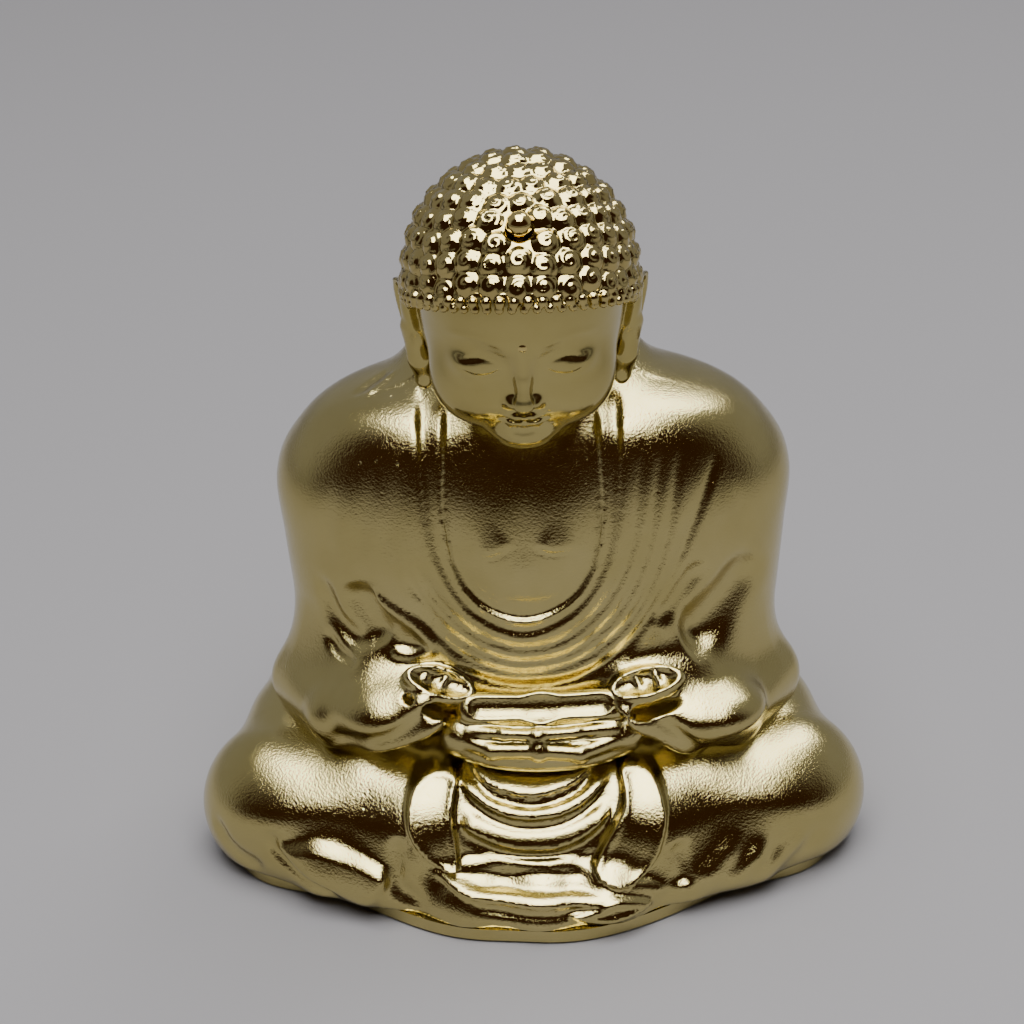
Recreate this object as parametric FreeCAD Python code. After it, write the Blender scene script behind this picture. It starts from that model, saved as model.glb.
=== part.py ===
import FreeCAD, Part

import math
import os

# Seated Buddha statue: hollow gold-plated castings that are screwed together over a base plate.
# Millimetres. +Z is up, -Y is the front, and the origin is the middle of the footprint, on the table.

V = FreeCAD.Vector
UP = V(0, 0, 1)

# Driving dimensions
HEIGHT = 60.0
KNEE_WIDTH = 53.6
DEPTH = 40.0
WALL = 1.8
FIT = 0.1

# Levels, from the table up
FELT_STANDS_PROUD = 0.2
FELT_RECESS = 0.4
PLATE_THICKNESS = 1.0
PLATE_TOP = FELT_STANDS_PROUD + PLATE_THICKNESS
KNEE_LEVEL = 4.4
DECK_TOP = 10.5
DECK_THICKNESS = 2.0
SPIGOT_RING_HEIGHT = 2.0
HAND_REST_TOP = 12.0
NECK_TOP = 40.0

# Screws and washers
SCREW_RADIUS = 0.95
SCREW_HOLE_RADIUS = 1.0
CLEARANCE_HOLE_RADIUS = 1.15
SCREW_HEAD_RADIUS = 1.8
SCREW_HEAD_HEIGHT = 1.0
SCREW_SLOT_WIDTH = 0.4
WASHER_RADIUS = 2.3
WASHER_THICKNESS = 0.3
BOSS_RADIUS = 2.6
BASE_SCREWS = [(0.0, -11.5), (-15.5, 7.0), (15.5, 7.0)]
TORSO_SCREWS = [(-10.0, 4.0), (10.0, 4.0)]
BASE_SCREW_LENGTH = 5.0
TORSO_SCREW_LENGTH = 6.0
TORSO_BOSS_HEIGHT = 7.6
RIB_HEIGHT = 9.0
NECK_SCREW_LENGTH = 7.0

# Base plate and felt
PLATE_RIM = 0.15
FELT_INSET = 2.2
POCKET_RADIUS = SCREW_HEAD_RADIUS + 0.2
POCKET_DEPTH = FELT_RECESS + SCREW_HEAD_HEIGHT
PAD_RADIUS = POCKET_RADIUS + 1.0
PAD_TOP = FELT_STANDS_PROUD + POCKET_DEPTH + 1.1

# Hands
HAND_PEG_Y = -12.2
HAND_PEG_RADIUS = 1.2
HAND_PEG_LENGTH = 2.2
THUMB_Y = -12.4
THUMB_RADIUS = 1.0
THUMB_REACH = 6.2
RING_RADIUS = 1.7
FINGER_RADIUS = 0.75

# Head and neck
HEAD_TILT = 16.0
HEAD_TOP_RISE = 10.96
HEAD_CENTRE = V(0, -4.4, HEIGHT - HEAD_TOP_RISE)
HEAD_HOLLOW_BOTTOM = -3.6
HEAD_HOLLOW_TOP = 7.4
NECK_Y = -0.4
NECK_SPIGOT_RADIUS = 3.6
NECK_SPIGOT_LENGTH = 2.6
COLLAR_BOTTOM = 33.4
HAIRLINE_FRONT = 6.4
HAIRLINE_BACK = -6.2
HAIRLINE_REACH = 10.0
LIP_LENGTH = 1.2
LIP_WALL = 0.8

# Plan outlines of the right half from the front hem round to the back, in shares of half the knee width and
# half the depth: the edge of the base plate, the legs at knee level, and the deck on top of them.
PLATE_OUTLINE = [(0, -1.0), (0.236, -0.955), (0.44, -0.805), (0.62, -0.66), (0.81, -0.56), (0.915, -0.37),
                 (0.922, -0.09), (0.86, 0.27), (0.715, 0.59), (0.462, 0.84), (0, 0.93)]
LEG_OUTLINE = [(0, -0.985), (0.236, -0.945), (0.44, -0.805), (0.636, -0.69), (0.855, -0.61), (0.987, -0.39),
               (0.998, -0.09), (0.93, 0.285), (0.772, 0.642), (0.5, 0.905), (0, 1.007)]
DECK_OUTLINE = [(0, -0.73), (0.204, -0.715), (0.378, -0.64), (0.538, -0.57), (0.698, -0.49), (0.815, -0.31),
                (0.844, -0.07), (0.807, 0.23), (0.684, 0.53), (0.436, 0.78), (0, 0.87)]

# Ovals as (height, half width, front, back, squareness)
TORSO = [(DECK_TOP, 21.6, -12.4, 17.0, 2.5), (13.5, 20.4, -12.3, 16.6, 2.5),
         (17.0, 19.4, -11.6, 16.0, 2.5), (21.0, 19.3, -10.3, 15.3, 2.4),
         (26.0, 20.1, -9.3, 14.5, 2.4), (31.0, 19.9, -8.8, 13.6, 2.4),
         (35.0, 18.2, -8.2, 12.6, 2.3), (38.0, 14.0, -7.4, 10.8, 2.2),
         (NECK_TOP, 8.4, -6.4, 8.2, 2.0)]
TORSO_HOLLOW_TOP = 35.2
TORSO_HOLLOW_FRONT = -7.0
HAND_RECESS = [(DECK_TOP - 1, 9.6, -22.0, -8.9, 2.6), (18.4, 9.4, -22.0, -8.9, 2.6)]
HAND_REST = [(DECK_TOP - DECK_THICKNESS / 2, 9.4, -15.4, -9.2, 2.4), (DECK_TOP + 0.4, 8.8, -15.0, -9.2, 2.4),
             (HAND_REST_TOP, 7.8, -14.6, -9.2, 2.4)]
PALMS = [(HAND_REST_TOP, 7.2, -14.7, -9.3, 2.6), (HAND_REST_TOP + 1.2, 7.8, -15.0, -9.3, 2.6),
         (HAND_REST_TOP + 2.4, 7.2, -14.4, -9.3, 2.6)]
NECK = [(NECK_TOP, 6.2, -6.2, 7.0, 2.0), (NECK_TOP + 3.0, 5.9, -6.6, 5.9, 2.0),
        (NECK_TOP + 7.2, 6.4, -9.0, 5.3, 2.0)]

# Ovals of the head about its middle, before it is tilted
SKULL = [(-8.1, 2.2, -7.9, -3.4, 2.0), (-7.3, 4.2, -8.7, 0.6, 2.0), (-5.4, 6.2, -9.2, 5.4, 2.1),
         (-3.0, 7.5, -9.3, 7.8, 2.1), (0.0, 8.1, -9.3, 8.8, 2.1), (3.0, 8.2, -9.1, 9.2, 2.1),
         (6.0, 7.4, -8.0, 8.4, 2.0), (8.4, 4.8, -5.2, 6.0, 2.0)]
HAIR = [(-7.0, 7.6, -9.0, 8.2, 2.1), (-3.0, 8.8, -9.9, 9.4, 2.1), (0.0, 9.2, -10.1, 10.1, 2.1),
        (3.0, 9.1, -9.9, 10.3, 2.1), (6.0, 8.1, -8.7, 9.3, 2.0), (8.0, 6.5, -6.8, 7.7, 2.0),
        (9.3, 4.9, -4.9, 6.1, 2.0), (10.2, 3.1, -2.8, 4.2, 2.0), (10.6, 0.8, -0.2, 1.6, 2.0)]

# Beads, as the place of the middle on the untilted head, the radius and the way the stem points
URNA = (V(0, -9.2, 2.3), 0.5, V(0, 1, 0))
CROWN_JEWEL = (V(0, -4.2, 9.5), 1.0, V(0, 0, -1))
STEM_LENGTH = 1.5
STEM_SHARE = 0.55

OVAL_POINTS = 20
BLOCK = 80.0


def closed_curve(points):
    """A smooth closed wire through points."""
    curve = Part.BSplineCurve()
    curve.interpolate(Points=points, PeriodicFlag=True)
    return Part.Wire([curve.toShape()])


def oval(height, half_width, front, back, squareness, inset=0.0, middle_x=0.0):
    """A closed superellipse at a height."""
    wide = half_width - inset
    deep = (back - front) / 2 - inset
    middle_y = (back + front) / 2
    points = []
    for i in range(OVAL_POINTS):
        angle = 2 * math.pi * i / OVAL_POINTS
        c, s = math.cos(angle), math.sin(angle)
        x = middle_x + wide * math.copysign(abs(c) ** (2 / squareness), c)
        y = middle_y + deep * math.copysign(abs(s) ** (2 / squareness), s)
        points.append(V(x, y, height))
    return closed_curve(points)


def stack(sections, inset=0.0):
    """A solid lofted through ovals."""
    return Part.makeLoft([oval(*section, inset=inset) for section in sections], True, False)


def egg(x, y, z, rx, ry, rz):
    """An ellipsoid with tiny flats at its top and bottom."""
    sections = []
    for degrees in (-84, -60, -30, 0, 30, 60, 84):
        share = math.cos(math.radians(degrees))
        level = z + rz * math.sin(math.radians(degrees))
        sections.append(oval(level, rx * share, y - ry * share, y + ry * share, 2.0, middle_x=x))
    return Part.makeLoft(sections, True, False)


def between(solid, box_from, box_to):
    """The part of a solid that lies between two corners."""
    return solid.common(Part.makeBox(*(box_to - box_from), box_from))


def in_millimetres(shares):
    """A half outline, from its shares of half the knee width and half the depth."""
    return [(x * KNEE_WIDTH / 2, y * DEPTH / 2) for x, y in shares]


def outline(half, height, inset=0.0):
    """A closed wire through half a plan outline and its mirror image, moved inwards by inset."""
    ring = half + [(-x, y) for x, y in reversed(half[1:-1])]
    points = []
    for i, (x, y) in enumerate(ring):
        (x0, y0), (x1, y1) = ring[i - 1], ring[(i + 1) % len(ring)]
        run = math.hypot(x1 - x0, y1 - y0)
        points.append(V(x - inset * (y1 - y0) / run, y + inset * (x1 - x0) / run, height))
    return closed_curve(points)


def legs_at(height):
    """The half outline of the legs at a height: full at the knees, and rounding in to the plate and the deck."""
    far_outline, far_level = (DECK_OUTLINE, DECK_TOP) if height > KNEE_LEVEL else (PLATE_OUTLINE, PLATE_TOP)
    limit = 0.98
    reach = limit * (height - KNEE_LEVEL) / (far_level - KNEE_LEVEL)
    round_over = (1 - math.sqrt(1 - reach ** 2)) / (1 - math.sqrt(1 - limit ** 2))
    return [(x0 + (x1 - x0) * round_over, y0 + (y1 - y0) * round_over)
            for (x0, y0), (x1, y1) in zip(in_millimetres(LEG_OUTLINE), in_millimetres(far_outline))]


def rod(x, y, bottom, top, radius):
    """An upright cylinder."""
    return Part.makeCylinder(radius, top - bottom, V(x, y, bottom), UP)


def tilted(shape):
    """A head part turned forward and set over the neck."""
    turned = shape.copy()
    turned.rotate(V(0, 0, 0), V(1, 0, 0), HEAD_TILT)
    turned.translate(HEAD_CENTRE)
    return turned


def screw(x, y, seat, length):
    """A slotted pan-head screw that points up, with its head below the seat."""
    head = rod(x, y, seat - SCREW_HEAD_HEIGHT, seat, SCREW_HEAD_RADIUS)
    slot = Part.makeBox(3 * SCREW_HEAD_RADIUS, SCREW_SLOT_WIDTH, 2 * SCREW_SLOT_WIDTH,
                        V(x - 1.5 * SCREW_HEAD_RADIUS, y - SCREW_SLOT_WIDTH / 2,
                          seat - SCREW_HEAD_HEIGHT - SCREW_SLOT_WIDTH))
    shoulder = seat + length - SCREW_RADIUS
    shank = rod(x, y, seat, shoulder, SCREW_RADIUS)
    tip = Part.makeCone(SCREW_RADIUS, SCREW_RADIUS / 2, SCREW_RADIUS, V(x, y, shoulder), UP)
    return head.fuse([shank, tip]).cut(slot).removeSplitter()


def washer(x, y, top):
    """A flat washer whose upper face is at top."""
    disc = rod(x, y, top - WASHER_THICKNESS, top, WASHER_RADIUS)
    return disc.cut(rod(x, y, top - 1, top + 1, CLEARANCE_HOLE_RADIUS))


def bead(place, radius, inwards):
    """A ball on a stem that points inwards, set on the tilted head."""
    stem = Part.makeCylinder(STEM_SHARE * radius, STEM_LENGTH, place, inwards)
    return tilted(Part.makeSphere(radius, place).fuse(stem))


def bead_seat(place, radius, inwards):
    """The blind hole and the shallow dish that a bead sits in, before the tilt."""
    hole = Part.makeCylinder(STEM_SHARE * radius + FIT / 2, STEM_LENGTH + FIT, place, inwards)
    return hole.fuse(Part.makeSphere(radius + FIT / 2, place))


def base_plate():
    """The plate that closes the base, with a felt recess below and a raised pad round each screw pocket."""
    edge = in_millimetres(PLATE_OUTLINE)
    plate = Part.Face(outline(edge, FELT_STANDS_PROUD)).extrude(UP * PLATE_THICKNESS)
    for x, y in BASE_SCREWS:
        plate = plate.fuse(rod(x, y, PLATE_TOP - 0.5, PAD_TOP, PAD_RADIUS))
    recess = Part.Face(outline(edge, 0, FELT_INSET - FIT)).extrude(UP * (FELT_STANDS_PROUD + FELT_RECESS))
    plate = plate.cut(recess)
    for x, y in BASE_SCREWS:
        plate = plate.cut(rod(x, y, 0, FELT_STANDS_PROUD + POCKET_DEPTH, POCKET_RADIUS))
        plate = plate.cut(rod(x, y, 0, PAD_TOP + 1, CLEARANCE_HOLE_RADIUS))
    return plate


def felt_pad():
    """The felt sheet glued in the plate's recess, on which the statue stands."""
    edge = outline(in_millimetres(PLATE_OUTLINE), 0, FELT_INSET)
    return Part.Face(edge).extrude(UP * (FELT_STANDS_PROUD + FELT_RECESS))


def torso_hollow(inset=0.0):
    """The space inside the torso, which stays behind the hands and under the neck, moved inwards by inset."""
    corner = V(-KNEE_WIDTH, TORSO_HOLLOW_FRONT + inset, 0)
    return between(stack(TORSO, WALL + inset), corner, V(KNEE_WIDTH, DEPTH, TORSO_HOLLOW_TOP - inset))


def spigot_ring():
    """The low ring on the deck that centres the torso."""
    ring = torso_hollow(3 * FIT).cut(torso_hollow(3 * FIT + WALL))
    top = DECK_TOP + SPIGOT_RING_HEIGHT
    return between(ring, V(-KNEE_WIDTH, -DEPTH, 0), V(KNEE_WIDTH, DEPTH, top))


def lap_casting():
    """The crossed legs under the robe: a dish turned over, whose deck carries the torso and the hands."""
    outer = [PLATE_TOP, 1.8, 2.8, KNEE_LEVEL, 6.8, 8.8, 9.9, DECK_TOP]
    inner = [PLATE_TOP, 1.8, 2.8, KNEE_LEVEL, 6.8, DECK_TOP - DECK_THICKNESS]
    legs = Part.makeLoft([outline(legs_at(z), z, PLATE_RIM) for z in outer], True, False)
    legs = legs.cut(Part.makeLoft([outline(legs_at(z), z, PLATE_RIM + WALL) for z in inner], True, False))
    legs = legs.fuse(spigot_ring())
    legs = legs.fuse(stack(HAND_REST))
    for x, y in BASE_SCREWS:
        legs = legs.fuse(rod(x, y, PAD_TOP, DECK_TOP - 0.5, BOSS_RADIUS))
    for x, y in BASE_SCREWS:
        legs = legs.cut(rod(x, y, PAD_TOP - 1, PAD_TOP + BASE_SCREW_LENGTH, SCREW_HOLE_RADIUS))
    for x, y in TORSO_SCREWS:
        legs = legs.cut(rod(x, y, DECK_TOP - 2 * DECK_THICKNESS, DECK_TOP + 1, CLEARANCE_HOLE_RADIUS))
    peg_bottom = HAND_REST_TOP - HAND_PEG_LENGTH
    return legs.cut(rod(0, HAND_PEG_Y, peg_bottom - FIT, HAND_REST_TOP + 1, HAND_PEG_RADIUS + FIT / 2))


def hands_casting():
    """Both hands in the lap: stacked palms, two rings of index finger and thumb, and a peg below."""
    thumb_start = V(-THUMB_REACH, THUMB_Y, HAND_REST_TOP + 4.1)
    thumbs = Part.makeCylinder(THUMB_RADIUS, 2 * THUMB_REACH, thumb_start, V(1, 0, 0))
    rings = []
    wrists = []
    for side in (-1, 1):
        ring_middle = V(side * 2.5, THUMB_Y - 0.7, HAND_REST_TOP + 2.7)
        rings.append(Part.makeTorus(RING_RADIUS, FINGER_RADIUS, ring_middle, V(0, 1, 0)))
        wrists.append(egg(side * 6.3, THUMB_Y + 1.0, HAND_REST_TOP + 2.8, 2.1, 2.0, 2.6))
    peg = rod(0, HAND_PEG_Y, HAND_REST_TOP - HAND_PEG_LENGTH, HAND_REST_TOP + 0.5, HAND_PEG_RADIUS)
    return stack(PALMS).fuse([thumbs, peg] + rings + wrists)


def torso_casting():
    """Torso, shoulders, arms and sleeves: a shell that is open below, with a socket for the neck."""
    solid = stack(TORSO)
    body = solid.fuse([egg(side * 11.4, -10.6, 17.4, 3.4, 2.8, 2.2) for side in (-1, 1)])
    body = body.cut(stack(HAND_RECESS)).cut(torso_hollow())
    collar = rod(0, NECK_Y, COLLAR_BOTTOM, NECK_TOP - 0.6, NECK_SPIGOT_RADIUS + WALL)
    rib_corner = V(-KNEE_WIDTH / 2, TORSO_SCREWS[0][1] - WALL / 2, DECK_TOP + SPIGOT_RING_HEIGHT + 0.6)
    rib = Part.makeBox(KNEE_WIDTH, WALL, RIB_HEIGHT, rib_corner)
    bosses = [rod(x, y, DECK_TOP, DECK_TOP + TORSO_BOSS_HEIGHT, BOSS_RADIUS) for x, y in TORSO_SCREWS]
    body = body.fuse([collar, rib.common(solid)] + bosses)
    body = body.cut(rod(0, NECK_Y, NECK_TOP - NECK_SPIGOT_LENGTH - FIT, HEIGHT, NECK_SPIGOT_RADIUS + FIT / 2))
    body = body.cut(rod(0, NECK_Y, COLLAR_BOTTOM - 1, HEIGHT, CLEARANCE_HOLE_RADIUS))
    for x, y in TORSO_SCREWS:
        body = body.cut(rod(x, y, DECK_TOP - 1, DECK_TOP + TORSO_SCREW_LENGTH, SCREW_HOLE_RADIUS))
    return body


def beyond_hairline(above):
    """A large block on one side of the sloping plane along which the hair meets the head."""
    slope = math.degrees(math.atan2(HAIRLINE_BACK - HAIRLINE_FRONT, 2 * HAIRLINE_REACH))
    block = Part.makeBox(BLOCK, BLOCK, BLOCK, V(-BLOCK / 2, -BLOCK / 2, 0 if above else -BLOCK))
    block.rotate(V(0, 0, 0), V(1, 0, 0), slope)
    block.translate(V(0, 0, (HAIRLINE_FRONT + HAIRLINE_BACK) / 2))
    return block


def face_features():
    """Nose, eyelids, lips and ears of a calm, general face."""
    nose = [egg(0, -9.1, -1.5, 0.8, 0.9, 2.4), egg(0, -9.4, -3.1, 1.3, 1.0, 0.9)]
    lids = [egg(side * 3.3, -8.4, -0.1, 1.7, 0.9, 0.7) for side in (-1, 1)]
    lips = [egg(0, -8.9, -5.0, 2.0, 0.8, 0.5), egg(0, -8.8, -5.8, 1.5, 0.7, 0.45)]
    ears = [egg(side * 8.1, 0.6, -2.4, 1.0, 2.0, 3.4) for side in (-1, 1)]
    lobes = [egg(side * 7.9, 0.2, -6.4, 0.9, 1.3, 3.4) for side in (-1, 1)]
    return nose + lids + lips + ears + lobes


def head_hollow(inset=0.0):
    """The space inside the head, before the tilt, moved inwards by inset."""
    corner = V(-KNEE_WIDTH, -DEPTH, HEAD_HOLLOW_BOTTOM + inset)
    return between(stack(SKULL, WALL + inset), corner, V(KNEE_WIDTH, DEPTH, HEAD_HOLLOW_TOP - inset))


def head_casting():
    """Face, ears and neck, hollow and open under the hair, with a spigot and a blind screw hole below."""
    head = tilted(stack(SKULL).fuse(face_features()))
    spigot = rod(0, NECK_Y, NECK_TOP - NECK_SPIGOT_LENGTH, NECK_TOP + 0.5, NECK_SPIGOT_RADIUS)
    head = head.fuse([stack(NECK), spigot])
    for cutter in (beyond_hairline(above=True), head_hollow(), bead_seat(*URNA)):
        head = head.cut(tilted(cutter))
    hole_top = COLLAR_BOTTOM + NECK_SCREW_LENGTH + 1.0
    return head.cut(rod(0, NECK_Y, COLLAR_BOTTOM, hole_top, SCREW_HOLE_RADIUS))


def hair_cap():
    """The cap of hair, which closes the head and centres in it with a short lip."""
    above = beyond_hairline(above=True)
    lip_reach = above.translated(V(0, 0, -LIP_LENGTH))
    lip = head_hollow(FIT).cut(head_hollow(FIT + LIP_WALL))
    cap = stack(HAIR).common(above).cut(head_hollow(FIT + LIP_WALL))
    cap = cap.fuse(lip.common(lip_reach))
    return tilted(cap.cut(bead_seat(*CROWN_JEWEL)))


def screws(places, seat, length):
    """Screws as one group."""
    return Part.makeCompound([screw(x, y, seat, length) for x, y in places])


def washers(places, top):
    """Washers as one group."""
    return Part.makeCompound([washer(x, y, top) for x, y in places])


def main():
    os.makedirs("parts", exist_ok=True)
    deck_under = DECK_TOP - DECK_THICKNESS
    parts = {
        "base_plate": base_plate(),
        "base_screws": screws(BASE_SCREWS, FELT_STANDS_PROUD + POCKET_DEPTH, BASE_SCREW_LENGTH),
        "crown_jewel": bead(*CROWN_JEWEL),
        "felt_pad": felt_pad(),
        "hair_cap": hair_cap(),
        "hands_casting": hands_casting(),
        "head_casting": head_casting(),
        "lap_casting": lap_casting(),
        "neck_screw": screws([(0, NECK_Y)], COLLAR_BOTTOM - WASHER_THICKNESS, NECK_SCREW_LENGTH),
        "neck_washer": washers([(0, NECK_Y)], COLLAR_BOTTOM),
        "torso_casting": torso_casting(),
        "torso_screws": screws(TORSO_SCREWS, deck_under - WASHER_THICKNESS, TORSO_SCREW_LENGTH),
        "torso_washers": washers(TORSO_SCREWS, deck_under),
        "urna_bead": bead(*URNA),
    }
    for name, shape in parts.items():
        box = shape.BoundBox
        state = "valid" if shape.isValid() else "NOT VALID"
        size = [round(v, 1) for v in (box.XLength, box.YLength, box.ZLength)]
        print(name, state, len(shape.Solids), "solids,", round(shape.Volume, 1), "mm3, about", size, "mm")
        shape.exportStep("parts/" + name + ".step")


main()
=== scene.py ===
import math

import bpy
import numpy as np
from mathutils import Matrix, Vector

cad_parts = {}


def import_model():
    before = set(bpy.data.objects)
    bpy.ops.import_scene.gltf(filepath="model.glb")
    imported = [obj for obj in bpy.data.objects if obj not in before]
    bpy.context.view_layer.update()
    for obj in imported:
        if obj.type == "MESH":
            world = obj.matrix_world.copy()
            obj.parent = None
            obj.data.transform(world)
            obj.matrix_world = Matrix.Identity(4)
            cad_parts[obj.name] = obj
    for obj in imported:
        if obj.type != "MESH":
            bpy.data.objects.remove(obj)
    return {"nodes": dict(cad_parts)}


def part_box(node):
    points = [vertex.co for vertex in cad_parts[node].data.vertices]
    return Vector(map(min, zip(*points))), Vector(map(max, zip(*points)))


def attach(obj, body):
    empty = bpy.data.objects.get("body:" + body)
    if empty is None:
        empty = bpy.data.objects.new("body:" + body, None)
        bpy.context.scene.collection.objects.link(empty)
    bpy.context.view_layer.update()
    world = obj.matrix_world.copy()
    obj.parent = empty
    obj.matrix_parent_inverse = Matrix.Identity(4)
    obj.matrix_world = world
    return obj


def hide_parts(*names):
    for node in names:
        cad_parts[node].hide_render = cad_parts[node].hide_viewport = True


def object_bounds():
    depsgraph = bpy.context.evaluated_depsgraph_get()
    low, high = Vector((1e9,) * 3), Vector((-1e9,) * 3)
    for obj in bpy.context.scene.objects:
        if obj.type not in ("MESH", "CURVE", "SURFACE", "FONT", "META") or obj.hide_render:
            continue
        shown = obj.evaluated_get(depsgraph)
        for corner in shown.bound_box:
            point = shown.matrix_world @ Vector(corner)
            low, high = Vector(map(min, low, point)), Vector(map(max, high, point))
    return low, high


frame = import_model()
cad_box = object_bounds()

import openvdb
from mathutils import Euler, Matrix, Vector

# The statue is sculpted as distance fields in millimetres, in the CAD model's frame, and meshed in metres.
MM = 0.001
LOW, HIGH = (np.array(corner) / MM for corner in cad_box)
FRONT = LOW[1]
BACK = HIGH[1]
TOP = HIGH[2]


def box_of(node):
    """A CAD node's lowest and highest corners, in millimetres."""
    return [np.array(corner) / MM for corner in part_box(node)]


PLATE_TOP = box_of("lap_casting")[0][2]
DECK = box_of("torso_casting")[0][2]
NECK_BASE = box_of("torso_casting")[1][2]

# The head is bowed by this angle round its middle, which lies this far from the hair cap's back and top.
HEAD_TILT = 16
HEAD_FROM_BACK = 10.45
HEAD_FROM_TOP = 10.96
HEAD_CENTRE = (0.0, box_of("hair_cap")[1][1] - HEAD_FROM_BACK, TOP - HEAD_FROM_TOP)


# ---- Distance fields ----
# Every function takes points as an (n, 3) array and gives n distances, negative inside.

def smooth_min(a, b, k):
    """The union of two forms, with a fillet that starts where they are k apart."""
    h = np.maximum(k - np.abs(a - b), 0) / k
    return np.minimum(a, b) - h * h * k / 4


def smooth_max(a, b, k):
    """The overlap of two forms, with an edge rounded over k."""
    return -smooth_min(-a, -b, k)


def turned(p, centre, turn):
    """Points in the local frame of something at centre that is turned by XYZ angles in degrees."""
    q = p - np.array(centre, np.float32)
    if not any(turn):
        return q
    matrix = np.array(Euler([math.radians(a) for a in turn]).to_matrix(), np.float32)
    return q @ matrix


def blob(p, centre, radii, turn=(0, 0, 0)):
    """An ellipsoid."""
    q = turned(p, centre, turn)
    r = np.array(radii, np.float32)
    near = np.sqrt(np.einsum("ij,ij->i", q / r, q / r))
    slope = np.sqrt(np.einsum("ij,ij->i", q / (r * r), q / (r * r)))
    return near * (near - 1) / np.maximum(slope, 1e-6)


def limb(p, points, radii, k=1.0):
    """A chain of cones with round ends."""
    total = None
    for (a, b), (ra, rb) in zip(zip(points, points[1:]), zip(radii, radii[1:])):
        a = np.array(a, np.float32)
        run = np.array(b, np.float32) - a
        t = np.clip((p - a) @ run / (run @ run), 0, 1)
        gap = p - a - t[:, None] * run
        piece = np.sqrt(np.einsum("ij,ij->i", gap, gap)) - (ra + (rb - ra) * t)
        total = piece if total is None else smooth_min(total, piece, k)
    return total


def spline(points, count):
    """Points along a Catmull-Rom curve through a few points, of any dimension."""
    pts = np.array(points, float)
    ends = [2 * pts[0] - pts[1]], [2 * pts[-1] - pts[-2]]
    pts = np.concatenate([ends[0], pts, ends[1]])
    t = np.linspace(0, len(points) - 1, count)
    i = np.minimum(t.astype(int), len(points) - 2)
    u = (t - i)[:, None]
    p0, p1, p2, p3 = pts[i], pts[i + 1], pts[i + 2], pts[i + 3]
    return 0.5 * (2 * p1 + (p2 - p0) * u + (2 * p0 - 5 * p1 + 4 * p2 - p3) * u ** 2
                  + (3 * p1 - p0 - 3 * p2 + p3) * u ** 3)


def ovals(p, sections):
    """A tower of superellipses, given as (height, half width, front, back, squareness)."""
    dense = spline(sections, 160)
    order = np.argsort(dense[:, 0])
    dense = dense[order]

    def raw(q):
        a, front, back, n = (np.interp(q[:, 2], dense[:, 0], dense[:, i]) for i in (1, 2, 3, 4))
        b = (back - front) / 2
        x = np.abs(q[:, 0]) / a
        y = np.abs(q[:, 1] - (back + front) / 2) / b
        return (x ** n + y ** n + 1e-9) ** (1 / n) - 1

    step = 0.05
    here = raw(p)
    slope = np.zeros(len(p))
    for axis in range(3):
        q = p.copy()
        q[:, axis] += step
        slope += ((raw(q) - here) / step) ** 2
    return (here / np.maximum(np.sqrt(slope), 0.02)).astype(np.float32)


def below(p, height):
    """Everything under a height."""
    return p[:, 2] - np.float32(height)


def above(p, height):
    """Everything over a height."""
    return np.float32(height) - p[:, 2]


# ---- Curves that lie on a form ----

class Curve:
    """A smooth curve that is laid on a form along one axis, for ridges, grooves and cloth edges."""

    def __init__(self, points, form, axis=1, start=-30.0, count=28):
        flat = spline(points, count)
        pts = np.insert(flat, axis, start, axis=1).astype(np.float32)
        step = 1.0 if start < 0 else -1.0
        for _ in range(60):
            pts[:, axis] += step * 0.8 * form(pts)
        self.pts = pts
        self.outward = np.zeros(3, np.float32)
        self.outward[axis] = -step

    def near(self, p, reach):
        """The indices of points within reach, with distance, share of the length and distance sideways."""
        low = self.pts.min(axis=0) - reach
        high = self.pts.max(axis=0) + reach
        index = np.nonzero(np.all((p > low) & (p < high), axis=1))[0]
        q = p[index]
        best = np.full(len(q), 1e9, np.float32)
        share = np.zeros(len(q), np.float32)
        side = np.zeros(len(q), np.float32)
        last = len(self.pts) - 1
        for i in range(last):
            a = self.pts[i]
            run = self.pts[i + 1] - a
            gap = q - a
            t = np.clip(gap @ run / max(run @ run, 1e-9), 0, 1)
            gap = gap - t[:, None] * run
            d = np.einsum("ij,ij->i", gap, gap)
            closer = d < best
            best[closer] = d[closer]
            share[closer] = (i + t[closer]) / last
            across = np.cross(self.outward, run)
            across /= max(np.linalg.norm(across), 1e-9)
            side[closer] = gap[closer] @ across
        d = np.sqrt(best)
        keep = d < reach
        return index[keep], d[keep], share[keep], side[keep]


def fade(share, start=0.15, end=0.15):
    """1 along a curve, falling smoothly to 0 over shares of its length at both ends."""
    weight = np.ones_like(share)
    if start > 0:
        weight *= np.clip(share / start, 0, 1)
    if end > 0:
        weight *= np.clip((1 - share) / end, 0, 1)
    return weight * weight * (3 - 2 * weight)


def ridge(f, p, curve, height, width, start=0.15, end=0.15):
    """Raises a soft ridge along a curve, or cuts a groove where height is negative."""
    index, d, share, _ = curve.near(p, 2.6 * width)
    f[index] -= height * np.exp(-(d / width) ** 2) * fade(share, start, end)


def edge(f, p, curve, height, soft, reach, start=0.1, end=0.1):
    """Raises the cloth on the left of a curve with a crisp edge, dying away over reach."""
    index, d, share, side = curve.near(p, 2.2 * reach)
    step = 0.5 + 0.5 * np.tanh(side / soft)
    f[index] -= height * step * np.exp(-(np.maximum(d, 0) / reach) ** 2) * fade(share, start, end)


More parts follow.
